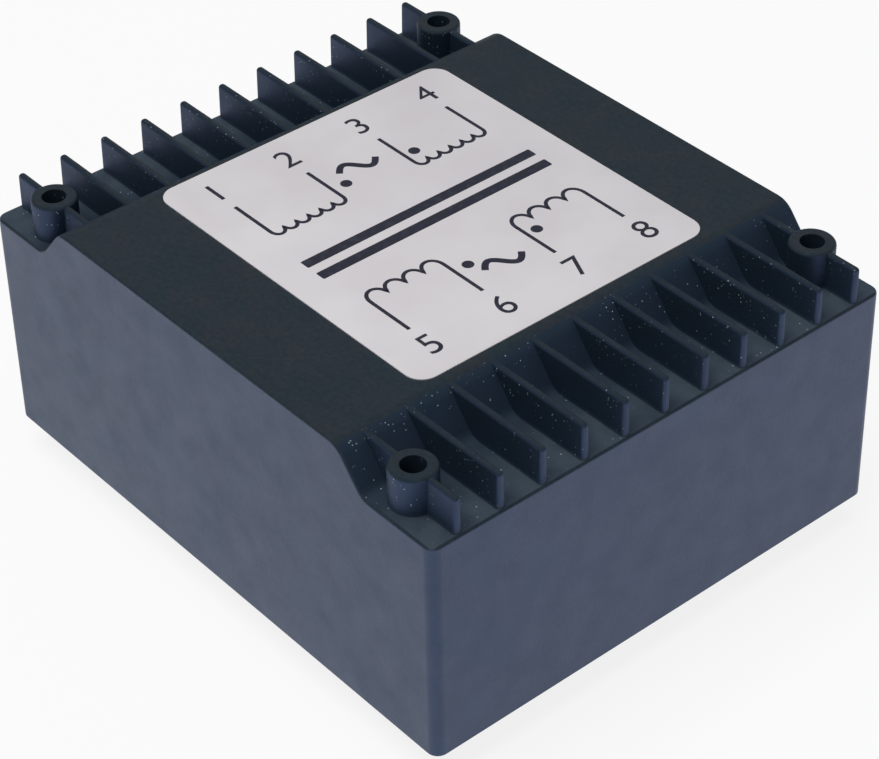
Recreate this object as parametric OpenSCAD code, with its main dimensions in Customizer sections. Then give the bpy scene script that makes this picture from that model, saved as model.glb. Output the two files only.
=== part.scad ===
// Encapsulated flat transformer for a circuit board: a two-coil core potted in a moulded cup.
// Origin: middle of the cup's rim, on the plane of the board. +X points to the secondary end.
// The housing is sized from the inside out: core, coil formers and gaps first, then its walls.

/* [Core] */
// Width of each leg and of each yoke of the core
leg_w = 13; // [11:0.5:14]
// Width of the window between the two legs
window_w = 13; // [12:0.5:16]
// Length of the window, along the legs
window_l = 39; // [36:0.5:45]
// Height of the stack of steel sheets
stack_h = 17; // [14:0.5:22]
// Thickness of one steel sheet
sheet_t = 0.5; // [0.35:0.05:0.65]
// Varnish between two sheets
sheet_gap = 0.03; // [0.02:0.01:0.05]
// Gap where a U sheet meets an I sheet
joint_gap = 0.05; // [0.03:0.01:0.1]

/* [Coil formers] */
// Clearance between a leg and its coil former
leg_gap = 0.15; // [0.1:0.05:0.3]
// Wall of the tube that the wire is wound on
tube_t = 0.8; // [0.6:0.1:1]
// Thickness of each flange
flange_t = 1; // [0.8:0.1:1.4]
// How far a flange stands above and below the core
flange_reach = 4.5; // [4:0.1:6]
// Gap between the two coil formers
former_gap = 0.6; // [0.4:0.1:1]
// Gap between a coil former's end and the yoke
former_end_gap = 0.2; // [0.1:0.05:0.4]
// Radius of the flange corners
flange_r = 1.2; // [0.5:0.1:2]
// Gap between a terminal strip and the yoke above it
strip_gap = 0.3; // [0.2:0.1:0.5]
// Plastic left round the outermost pins of a strip
strip_edge = 2.2; // [1.6:0.1:2.6]

/* [Windings] */
// How far the flanges stand proud of the taped coil
flange_rim = 0.6; // [0.4:0.1:1]
// Thickness of the insulating tape round a coil
tape_t = 0.15; // [0.1:0.05:0.25]
// Outer corner radius of a coil
coil_r = 3; // [1.5:0.5:4]
// Diameter of the primary wire
primary_wire_d = 0.4; // [0.2:0.05:0.5]
// Diameter of the secondary wire
secondary_wire_d = 0.9; // [0.6:0.05:0.95]
// Clearance of the leads from pins, notches and strips
lead_gap = 0.05; // [0.03:0.01:0.08]
// Solder under the turn that a lead takes round its pin
solder_t = 0.3; // [0.1:0.1:0.6]

/* [Pins] */
// Diameter of a pin where it passes through the board
pin_d = 1; // [0.8:0.1:1.1]
// Diameter of a pin's shank, inside the housing
shank_d = 1.4; // [1.4:0.1:1.6]
// Height of the shank's end above the board plane
shank_z = 0.3; // [0.2:0.1:0.4]
// Length of a pin below the board plane
pin_l = 4; // [3:0.5:6]
// Plastic left above a pin in its terminal strip
pin_cover = 0.6; // [0.4:0.1:1]
// Distance between the two pins at one end of a coil former
pin_pitch = 10; // [8:0.5:11]
// Distance of the pins inboard of the core's ends
pin_in = 5; // [4:0.5:6]
// How far a pair of pins sits inboard of its leg's centre
pin_shift = 0.5; // [0:0.5:1]
// Length of the taper at a pin's tip
pin_tip = 0.4; // [0.2:0.1:0.8]
// Radial gap between a pin and what it is fixed in
pin_fit = 0.02; // [0.01:0.01:0.04]

/* [Housing] */
// Thickness of the side and end walls
wall_t = 1.3; // [1:0.1:2]
// Thickness of the roof, the shoulders and the terraces
roof_t = 1.5; // [1.2:0.1:2]
// Gap between the core and the end walls
end_gap = 0.2; // [0.1:0.1:1]
// Gap between the coil formers and the side walls
side_gap = 1.5; // [1:0.1:2.5]
// Gap between the coil formers and the roof
top_gap = 0.2; // [0.1:0.1:1]
// Gap between the yokes and the terraces
terrace_gap = 0.6; // [0.3:0.1:1]
// Height of the coil formers above the board plane
floor_gap = 1.6; // [1.4:0.1:2.5]
// Length of flat roof beyond the core's window, on average
flat_over = 0.8; // [0.6:0.1:1.2]
// Offset of the flat roof towards the secondary end
roof_shift = -0.4; // [-0.5:0.1:0.5]
// Steepest angle of the shoulders
shoulder_angle = 50; // [40:1:60]
// Radius where the roof turns down into a shoulder
shoulder_top_r = 2.6; // [2.2:0.1:3.5]
// Radius where a shoulder runs out into a terrace
shoulder_foot_r = 2; // [1:0.1:3]
// Radius of the upright corners
corner_r = 1.2; // [0.8:0.1:2]
// Radius along the top edges
edge_r = 0.3; // [0.3:0.1:0.7]
// Draft of the outer walls
draft = 0.2; // [0:0.1:0.5]

/* [Cooling fins] */
// Number of fins on each terrace
fin_count = 11; // [7:2:13]
// Thickness of a fin at its root
fin_root_t = 1; // [0.9:0.1:1.4]
// Thickness of a fin along its top
fin_top_t = 0.8; // [0.5:0.1:0.8]
// Distance of the fin noses from the end wall
fin_set_back = 0.35; // [0.2:0.05:0.8]
// Distance of the fin tops below the roof
fin_drop = 0.15; // [0:0.05:0.5]
// Radius of a fin's outer top corner
fin_tip_r = 0.3; // [0.3:0.1:1.2]

/* [Screw bosses] */
// Outer diameter of a boss
boss_d = 4.7; // [4.4:0.1:5.4]
// Diameter of the hole for a self-tapping screw
screw_d = 2.4; // [2:0.1:2.9]
// Distance of the holes from the end walls
boss_in_x = 6.4; // [6:0.1:7]
// Distance of the holes from the side walls
boss_in_y = 3.5; // [3.2:0.1:3.8]
// Chamfer round the top of a boss
boss_chamfer = 0.25; // [0.1:0.05:0.4]

/* [Potting and label] */
// Depth of the resin surface inside the rim
resin_recess = 0.8; // [0.4:0.1:1.2]
// Length of the label, along X
label_l = 40.5; // [34:0.5:41]
// Width of the label, along Y
label_w = 36.5; // [30:0.5:44]
// Thickness of the label
label_t = 0.15; // [0.1:0.05:0.3]
// Radius of the label's corners
label_r = 2; // [1:0.5:5]
// Offset of the label from the middle of the roof, along X
label_x = -0.2; // [-0.5:0.1:0.5]
// Offset of the label along Y
label_y = 0.7; // [-2:0.1:2]

/* [Hidden] */
$fn = 48;
front = -1;
rear = 1;
primary = -1;
secondary = 1;

// Core
leg_y = (window_w + leg_w) / 2;
window_half = window_l / 2;
core_l = window_l + 2 * leg_w;
core_w = window_w + 2 * leg_w;
sheet_pitch = sheet_t + sheet_gap;
sheet_count = floor((stack_h + sheet_gap) / sheet_pitch);

// Coil formers, measured from the middle of a leg
tube_in = [leg_w / 2 + leg_gap, stack_h / 2 + leg_gap];
tube_out = [tube_in[0] + tube_t, tube_in[1] + tube_t];
flange_out = [leg_y - former_gap / 2, stack_h / 2 + flange_reach];
former_half = window_half - former_end_gap;
taped_out = [flange_out[0] - flange_rim, flange_out[1] - flange_rim];
coil_out = [taped_out[0] - tape_t, taped_out[1] - tape_t];
core_z = floor_gap + flange_out[1];
strip_top = core_z - stack_h / 2 - strip_gap;
strip_bottom = core_z - coil_out[1] + secondary_wire_d + 2 * lead_gap;
chamber_in = flange_t / 2;
chamber_out = former_half - flange_t;

// Pins
pin_x = core_l / 2 - pin_in;
pin_y = [for (side = [-1, 1]) leg_y - pin_shift + side * pin_pitch / 2];
pin_top = strip_top - pin_cover;

// Housing
case_l = core_l + 2 * (end_gap + wall_t);
case_w = 2 * (leg_y + flange_out[0] + side_gap + wall_t);
case_h = core_z + flange_out[1] + top_gap + roof_t;
terrace_h = core_z + stack_h / 2 + terrace_gap + roof_t;
flat_half = window_half + flat_over;
turn_drop = (shoulder_top_r + shoulder_foot_r) * (1 - cos(shoulder_angle));
slope_drop = max(case_h - terrace_h - turn_drop, 0);
shoulder_l = (shoulder_top_r + shoulder_foot_r) * sin(shoulder_angle)
    + slope_drop / tan(shoulder_angle);
boss_x = case_l / 2 - boss_in_x;
boss_y = case_w / 2 - boss_in_y;
fin_pitch = 2 * boss_y / (fin_count - 1);
fin_top = case_h - fin_drop;
nose_x = case_l / 2 - terrace_h * tan(draft) - fin_set_back;

// Steps along each arc of the housing's skin
turn_steps = 6;
edge_steps = 3;
corner_steps = 4;
// Overlap that makes cuts run clean through
eps = 1;

// Points of an arc about [x, y], from angle a to angle b
function arc(x, y, r, a, b, steps) =
    [for (i = [0:steps]) let (t = a + (b - a) * i / steps) [x + r * cos(t), y + r * sin(t)]];

// Outline of a rectangle with half sizes h and rounded corners
function round_rect(h, r, steps = 5) = concat(
    arc(h[0] - r, h[1] - r, r, 0, 90, steps), arc(r - h[0], h[1] - r, r, 90, 180, steps),
    arc(r - h[0], r - h[1], r, 180, 270, steps), arc(h[0] - r, r - h[1], r, 270, 360, steps));

// Distance from the origin to the end of the flat roof
function flat_end(end) = flat_half + end * roof_shift;

// One end's shoulder as [distance, z] from the flat roof down to the terrace, sunk by depth
function shoulder(end, depth) = [
    for (s = concat(
        [for (i = [0:turn_steps]) let (a = shoulder_angle * i / turn_steps)
            [shoulder_top_r * sin(a), case_h - shoulder_top_r * (1 - cos(a)), a]],
        [for (i = [turn_steps:-1:0]) let (a = shoulder_angle * i / turn_steps)
            [shoulder_l - shoulder_foot_r * sin(a), terrace_h + shoulder_foot_r * (1 - cos(a)), a]]))
    [flat_end(end) + s[0] - depth * sin(s[2]), s[1] - depth * cos(s[2])]];

function reverse(list) = [for (i = [len(list) - 1:-1:0]) list[i]];

// Both shoulders from the -X foot over the roof to the +X foot, as [x, z]
function ridge(depth) = concat(
    reverse([for (p = shoulder(primary, depth)) [-p[0], p[1]]]), shoulder(secondary, depth));

// Half sizes of the drafted walls at height z
function half_l(z) = case_l / 2 - z * tan(draft);
function half_w(z) = case_w / 2 - z * tan(draft);

// One ring of the housing's skin, inset from the walls and sunk by depth, anticlockwise from above
function corner_arc(sx, sy, a, inset, z) =
    let (r = corner_r - inset, x = half_l(z) - corner_r, y = half_w(z) - corner_r)
    [for (p = arc(sx * x, sy * y, r, a, a + 90, corner_steps)) [p[0], p[1], z]];
function skin_ring(inset, depth, flat_z = -1) =
    let (top = ridge(depth), end_z = flat_z < 0 ? terrace_h - depth : flat_z,
        side = [for (p = top) let (z = flat_z < 0 ? p[1] : flat_z) [p[0], half_w(z) - inset, z]])
    concat(
        [for (p = side) [p[0], -p[1], p[2]]],
        corner_arc(1, -1, 270, inset, end_z), corner_arc(1, 1, 0, inset, end_z),
        reverse(side),
        corner_arc(-1, 1, 90, inset, end_z), corner_arc(-1, -1, 180, inset, end_z));

// Solid block with the outer form of the housing: a stack of rings, closed at top and bottom
module outer_block() {
    rings = concat([skin_ring(0, 0, 0)], [for (i = [0:edge_steps]) let (a = 90 * i / edge_steps)
        skin_ring(edge_r * (1 - cos(a)), edge_r * (1 - sin(a)))]);
    n = len(rings[0]);
    side_n = len(ridge(0));
    corner_n = 2 * (corner_steps + 1);
    walls = [for (k = [0:len(rings) - 2], i = [0:n - 1])
        let (a = k * n + i, b = k * n + (i + 1) % n) each [[a, a + n, b], [b, a + n, b + n]]];
    // One ring's lid: strips across the sides, and a plate inside the corners at each end
    function lid(first) = concat(
        [for (i = [0:side_n - 2]) let (far = first + 2 * side_n + corner_n - 1 - i)
            [far, far - 1, first + i + 1, first + i]],
        [reverse([for (i = [side_n - 1:side_n + corner_n]) first + i]),
        reverse(concat([for (i = [2 * side_n + corner_n - 1:n - 1]) first + i], [first]))]);
    floor = [for (face = lid(0)) reverse(face)];
    polyhedron(points = [for (ring = rings, p = ring) p],
        faces = concat(walls, floor, lid((len(rings) - 1) * n)));
}

// Space inside the housing, open below
module cavity() {
    top = ridge(roof_t);
    end_x = case_l / 2;
    intersection() {
        rotate([90, 0, 0])
            linear_extrude(case_w, center = true)
                polygon(concat([[-end_x, -eps], [-end_x, terrace_h - roof_t]], top,
                    [[end_x, terrace_h - roof_t], [end_x, -eps]]));
        translate([0, 0, -2 * eps])
            linear_extrude(case_h + 2 * eps)
                polygon(round_rect([case_l / 2 - wall_t, case_w / 2 - wall_t], corner_r / 2));
    }
}

// Copies its children to the four screw positions
module at_bosses() {
    for (sx = [-1, 1], sy = [-1, 1]) translate([sx * boss_x, sy * boss_y, 0]) children();
}

// One terrace's fins: tapered bars cut to a common side profile that starts inside the skin
module fin_row(end) {
    root_z = terrace_h - roof_t / 2;
    slope = (fin_root_t - fin_top_t) / 2 / (fin_top - terrace_h);
    foot_t = fin_root_t / 2 + slope * roof_t / 2;
    profile = concat(shoulder(end, roof_t / 2), [[nose_x, root_z]],
        arc(nose_x - fin_tip_r, fin_top - fin_tip_r, fin_tip_r, 0, 90, 4), [[flat_end(end), fin_top]]);
    mirror([(1 - end) / 2, 0, 0])
        intersection() {
            for (i = [0:fin_count - 1])
                translate([flat_end(end), (i - (fin_count - 1) / 2) * fin_pitch, 0])
                    rotate([90, 0, 90])
                        linear_extrude(case_l / 2 - flat_end(end))
                            polygon([[-foot_t, root_z], [foot_t, root_z],
                                [fin_top_t / 2, fin_top], [-fin_top_t / 2, fin_top]]);
            rotate([90, 0, 0]) linear_extrude(case_w, center = true) polygon(profile);
        }
}

// Moulded cup: skin, fins and bosses in one piece, with a screw hole through each boss
module case() {
    color("#2c3338")
        difference() {
            union() {
                difference() {
                    outer_block();
                    cavity();
                }
                for (end = [primary, secondary]) fin_row(end);
                at_bosses() {
                    cylinder(d = boss_d, h = case_h - boss_chamfer);
                    translate([0, 0, case_h - boss_chamfer])
                        cylinder(d1 = boss_d, d2 = boss_d - 2 * boss_chamfer, h = boss_chamfer);
                }
            }
            at_bosses() translate([0, 0, -eps]) cylinder(d = screw_d, h = case_h + 2 * eps);
        }
}

// Self-adhesive label on the roof
module label() {
    color("#d2cfd1")
        translate([roof_shift + label_x, label_y, case_h])
            linear_extrude(label_t) polygon(round_rect([label_l / 2, label_w / 2], label_r));
}

// Steel sheets laid alternately, so that each layer's joint is bridged by the next
module sheets() {
    for (i = [0:sheet_count - 1])
        translate([0, 0, core_z - stack_h / 2 + i * sheet_pitch])
            mirror([i % 2, 0, 0]) linear_extrude(sheet_t) children();
}

// U sheet with its yoke at -X
module u_outline() {
    difference() {
        translate([-core_l / 2, -core_w / 2]) square([core_l - leg_w - joint_gap, core_w]);
        translate([-window_half, -window_w / 2]) square([core_l, window_w]);
    }
}

// I sheet that closes the U at +X
module i_outline() {
    translate([window_half, -core_w / 2]) square([leg_w, core_w]);
}

module core_u_laminations() {
    color("#8d9196") sheets() u_outline();
}

module core_i_laminations() {
    color("#7d8287") sheets() i_outline();
}

// Space taken by the whole core, with its sheets and joints
module core_space() {
    difference() {
        translate([-core_l / 2, -core_w / 2, core_z - stack_h / 2]) cube([core_l, core_w, stack_h]);
        translate([-window_half, -window_w / 2, 0]) cube([window_l, window_w, case_h]);
    }
}

// A block along X with the given half sizes in Y and Z, about the middle of a leg
module leg_block(side, x0, x1, half, r = 0) {
    outline = r > 0 ? round_rect(half, r) : [[half[0], half[1]], [-half[0], half[1]],
        [-half[0], -half[1]], [half[0], -half[1]]];
    translate([x0, side * leg_y, core_z])
        rotate([90, 0, 90]) linear_extrude(x1 - x0) polygon(outline);
}

// A lead runs under the strip and beside its pin, for a wire of diameter d
function lead_offset(d) = shank_d / 2 + pin_fit + lead_gap + d / 2;
function lead_z(d) = strip_bottom - lead_gap - d / 2;
function lead_y(side, k, d) = side * (pin_y[k] + lead_offset(d));
function wire_d(end) = end == primary ? primary_wire_d : secondary_wire_d;

// Coil former as it meets the resin: tube, flanges and strips, with notches for the leads
module former_body(side) {
    strip_w = pin_pitch + 2 * strip_edge;
    strip_l = pin_x + strip_edge - chamber_out;
    difference() {
        union() {
            leg_block(side, -former_half, former_half, tube_out);
            for (x = [-former_half, -flange_t / 2, former_half - flange_t])
                leg_block(side, x, x + flange_t, flange_out, flange_r);
            for (end = [primary, secondary])
                translate([end > 0 ? chamber_out : -chamber_out - strip_l,
                        side * (leg_y - pin_shift) - strip_w / 2, strip_bottom])
                    cube([strip_l, strip_w, strip_top - strip_bottom]);
        }
        for (end = [primary, secondary], k = [0, 1]) {
            notch = wire_d(end) + 2 * lead_gap;
            translate([end * former_half - flange_t * 1.5, lead_y(side, k, wire_d(end)) - notch / 2, 0])
                cube([3 * flange_t, notch, strip_bottom]);
        }
    }
}

// Two-chamber coil former with its bore for the leg and blind holes for the pins
module coil_former(side) {
    color("#d9d6c8")
        difference() {
            former_body(side);
            leg_block(side, -window_half, window_half, tube_in);
            for (end = [primary, secondary], k = [0, 1]) pin_hole(side, end, k);
        }
}

// Lead from a coil to its pin, and the soldered turn round the pin; solid fills the pin's hole
module lead(side, end, k, solid = false) {
    d = wire_d(end);
    coil_x = chamber_out - d;
    turn_bottom = lead_z(d) - d / 2 - solder_t;
    translate([end > 0 ? coil_x : -pin_x, lead_y(side, k, d), lead_z(d)])
        rotate([0, 90, 0]) cylinder(d = d, h = pin_x - coil_x);
    translate([end * pin_x, side * pin_y[k], turn_bottom])
        difference() {
            cylinder(r = lead_offset(d) + d / 2 + lead_gap, h = strip_bottom - turn_bottom);
            if (!solid) translate([0, 0, -eps]) cylinder(d = shank_d + 2 * pin_fit, h = case_h);
        }
}

// Wound coil in one chamber, with both of its leads
module winding(side, end) {
    x0 = end > 0 ? chamber_in : -chamber_out;
    difference() {
        leg_block(side, x0, x0 + chamber_out - chamber_in, coil_out, coil_r);
        leg_block(side, -window_half, window_half, tube_out);
    }
    for (k = [0, 1]) lead(side, end, k);
}

// One chamber filled out to the tape's outside
module taped_space(side, end) {
    x0 = end > 0 ? chamber_in : -chamber_out;
    leg_block(side, x0, x0 + chamber_out - chamber_in, taped_out, coil_r + tape_t);
}

// Tape wound over one coil
module tape(side, end) {
    color("#d8b24a")
        difference() {
            taped_space(side, end);
            leg_block(side, -window_half, window_half, coil_out, coil_r);
        }
}

module primary_winding(side) {
    color("#b5652f") winding(side, primary);
}

module secondary_winding(side) {
    color("#c9793c") winding(side, secondary);
}

// Turned solder pin: a thicker shank held in the strip, and a tail with a tapered tip
module pin(side, end, k) {
    color("#c8c8c2")
        translate([end * pin_x, side * pin_y[k], 0]) {
            translate([0, 0, shank_z]) cylinder(d = shank_d, h = pin_top - shank_z);
            translate([0, 0, pin_tip - pin_l]) cylinder(d = pin_d, h = pin_l - pin_tip + shank_z);
            translate([0, 0, -pin_l]) cylinder(d1 = pin_d / 2, d2 = pin_d, h = pin_tip);
        }
}

// Hole that a pin's shank leaves in what it is fixed in
module pin_hole(side, end, k) {
    translate([end * pin_x, side * pin_y[k], -eps])
        cylinder(d = shank_d + 2 * pin_fit, h = pin_top + eps);
}

// Cast resin that fills the cup round everything in it
module potting_resin() {
    color("#3b3f45")
        difference() {
            cavity();
            translate([-case_l / 2, -case_w / 2, -3 * eps]) cube([case_l, case_w, 3 * eps + resin_recess]);
            at_bosses() translate([0, 0, -eps]) cylinder(d = boss_d, h = case_h);
            core_space();
            for (side = [front, rear]) {
                former_body(side);
                for (end = [primary, secondary]) {
                    taped_space(side, end);
                    for (k = [0, 1]) {
                        lead(side, end, k, true);
                        pin_hole(side, end, k);
                    }
                }
            }
        }
}

case();
label();
potting_resin();
core_u_laminations();
core_i_laminations();
coil_former(front);  // coil_former_front
coil_former(rear);  // coil_former_rear
primary_winding(front);  // primary_winding_front
primary_winding(rear);  // primary_winding_rear
secondary_winding(front);  // secondary_winding_front
secondary_winding(rear);  // secondary_winding_rear
tape(front, primary);  // primary_tape_front
tape(rear, primary);  // primary_tape_rear
tape(front, secondary);  // secondary_tape_front
tape(rear, secondary);  // secondary_tape_rear
pin(front, primary, 1);  // pin_1
pin(front, primary, 0);  // pin_2
pin(rear, primary, 0);  // pin_3
pin(rear, primary, 1);  // pin_4
pin(front, secondary, 1);  // pin_5
pin(front, secondary, 0);  // pin_6
pin(rear, secondary, 0);  // pin_7
pin(rear, secondary, 1);  // pin_8
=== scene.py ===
"""Looks of a flat, potted transformer for a circuit board.

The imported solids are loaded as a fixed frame. This script dresses them, models the housing
and the label with the edges and print that the solids leave plain, and sets up a small
studio round the part. Size fields are in millimetres, and Blender works in metres.
"""

import logging
import math
from dataclasses import dataclass, field
from enum import Enum
from typing import Callable, Dict, List, Optional, Sequence, Tuple, Union

import bmesh
import bpy
from mathutils import Matrix, Vector


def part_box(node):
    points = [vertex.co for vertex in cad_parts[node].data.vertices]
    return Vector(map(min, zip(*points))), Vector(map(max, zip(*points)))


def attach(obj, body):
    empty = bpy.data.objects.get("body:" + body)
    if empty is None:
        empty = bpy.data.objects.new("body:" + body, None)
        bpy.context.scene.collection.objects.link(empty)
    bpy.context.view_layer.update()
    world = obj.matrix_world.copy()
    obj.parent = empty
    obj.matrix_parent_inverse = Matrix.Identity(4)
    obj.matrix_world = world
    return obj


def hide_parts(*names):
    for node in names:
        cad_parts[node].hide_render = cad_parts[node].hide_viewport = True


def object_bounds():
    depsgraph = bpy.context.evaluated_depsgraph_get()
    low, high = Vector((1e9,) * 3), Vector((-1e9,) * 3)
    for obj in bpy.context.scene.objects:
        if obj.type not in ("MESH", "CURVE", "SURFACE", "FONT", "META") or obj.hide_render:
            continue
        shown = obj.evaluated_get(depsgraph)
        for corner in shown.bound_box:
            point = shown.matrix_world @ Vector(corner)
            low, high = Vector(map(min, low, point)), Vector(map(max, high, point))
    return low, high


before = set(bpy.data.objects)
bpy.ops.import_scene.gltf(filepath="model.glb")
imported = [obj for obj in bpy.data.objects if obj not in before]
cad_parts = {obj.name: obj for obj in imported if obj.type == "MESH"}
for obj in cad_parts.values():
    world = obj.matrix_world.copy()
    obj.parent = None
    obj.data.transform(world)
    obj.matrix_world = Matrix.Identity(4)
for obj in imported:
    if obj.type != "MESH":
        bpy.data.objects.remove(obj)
CAD_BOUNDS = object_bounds()

MM = 0.001
LOG = logging.getLogger("transformer")
Colour = Tuple[float, float, float, float]
Point = Tuple[float, float, float]
Pair = Tuple[float, float]
Link = Union[bpy.types.Node, bpy.types.NodeSocket]


class End(Enum):
    """An end of the part, with the direction along X in which it lies."""

    PRIMARY = -1
    SECONDARY = 1


class Meeting(Enum):
    """What a second piece does to the piece it meets."""

    JOINED = "UNION"
    CUT_AWAY = "DIFFERENCE"


# ---------------------------------------------------------------- colours and nodes


def linear(code: str) -> Colour:
    """Turns an sRGB hex colour into linear values.

    Args:
        code: Six hex digits.

    Returns:
        Red, green, blue and an alpha of 1.
    """
    values = []
    for start in (0, 2, 4):
        part = int(code[start:start + 2], 16) / 255
        values.append(part / 12.92 if part <= 0.04045 else ((part + 0.055) / 1.055) ** 2.4)
    return values[0], values[1], values[2], 1.0


def add_node(tree: bpy.types.NodeTree, kind: str, inputs: Union[Dict, Sequence] = (),
             **settings: object) -> bpy.types.Node:
    """Adds a node with its settings, and sets or links its inputs.

    Args:
        tree: The node tree to add to.
        kind: The node's type, such as ShaderNodeBump.
        inputs: Sockets by name or number, each with a constant, a socket to link, or a node
            whose first output is linked. A plain sequence fills the sockets in order.
        settings: Attributes of the node and their values.

    Returns:
        The new node.
    """
    node = tree.nodes.new(kind)
    for name, value in settings.items():
        setattr(node, name, value)
    for key, value in inputs.items() if isinstance(inputs, dict) else enumerate(inputs):
        if isinstance(value, bpy.types.Node):
            value = value.outputs[0]
        if isinstance(value, bpy.types.NodeSocket):
            tree.links.new(value, node.inputs[key])
        else:
            node.inputs[key].default_value = value
    return node


@dataclass(frozen=True)
class Cloud:
    """A cloudy pattern.

    Its size is that of a blotch in millimetres. The band of its values is stretched to the
    two ends, and what lies outside the band is held at an end.
    """

    size: float
    detail: float = 2.0
    band: Pair = (0.3, 0.7)
    ends: Pair = (0.0, 1.0)
    swirl: float = 0.0


class Surface:
    """A material under construction: its node tree, its shader and the piece's own coordinates."""

    def __init__(self, name: str, colour: str, roughness: float, refraction: float = 1.5) -> None:
        """Starts a material with one shader.

        Args:
            name: The material's name.
            colour: Base colour as sRGB hex.
            roughness: Roughness of the shader.
            refraction: Index of refraction.
        """
        self.material = bpy.data.materials.new(name)
        self.material.use_nodes = True
        self.material.diffuse_color = linear(colour)
        self.tree = self.material.node_tree
        self.tree.nodes.clear()
        self.shader = add_node(self.tree, "ShaderNodeBsdfPrincipled", {
            "Base Color": linear(colour), "Roughness": roughness, "IOR": refraction})
        add_node(self.tree, "ShaderNodeOutputMaterial", (self.shader,))
        self.place = add_node(self.tree, "ShaderNodeTexCoord").outputs["Object"]

    def clouded(self, cloud: Cloud) -> bpy.types.Node:
        """Gives the values of a cloudy pattern.

        Args:
            cloud: The pattern.

        Returns:
            The node that gives its values.
        """
        noise = add_node(self.tree, "ShaderNodeTexNoise", {
            "Vector": self.place, "Scale": 1 / (cloud.size * MM), "Detail": cloud.detail,
            "Distortion": cloud.swirl})
        return add_node(self.tree, "ShaderNodeMapRange", (noise, *cloud.band, *cloud.ends))

    def coated(self, ground: str, *coats: Tuple[Link, str]) -> bpy.types.NodeSocket:
        """Lays coats of colour over a ground, each by its own share.

        Args:
            ground: The lowest colour as sRGB hex.
            coats: Each coat's share and its colour as sRGB hex, from the lowest up.

        Returns:
            The socket that gives the colour on top.
        """
        below = linear(ground)
        for share, colour in coats:
            below = add_node(self.tree, "ShaderNodeMix", {0: share, 6: below, 7: linear(colour)},
                             data_type="RGBA").outputs[2]
        return below

    def embossed(self, size: float, depth: float, detail: float = 2.0,
                 under: Optional[bpy.types.Node] = None) -> bpy.types.Node:
        """Raises a cloudy relief, over another relief if one is given.

        Args:
            size: Size of a blotch in millimetres.
            depth: Height of the relief in millimetres.
            detail: Octaves of finer relief.
            under: The relief below.

        Returns:
            The node that gives the normal.
        """
        noise = add_node(self.tree, "ShaderNodeTexNoise", {
            "Vector": self.place, "Scale": 1 / (size * MM), "Detail": detail})
        below = {"Normal": under} if under else {}
        return add_node(self.tree, "ShaderNodeBump", {
            "Height": noise, "Distance": depth * MM, "Strength": 1.0, **below})

    def feed(self, **values: Link) -> None:
        """Links values to sockets of the shader.

        Args:
            values: Sockets' names, with _ for a space, and what feeds each.
        """
        for name, value in values.items():
            source = value.outputs[0] if isinstance(value, bpy.types.Node) else value
            self.tree.links.new(source, self.shader.inputs[name.replace("_", " ")])


# ---------------------------------------------------------------- finishes


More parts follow.
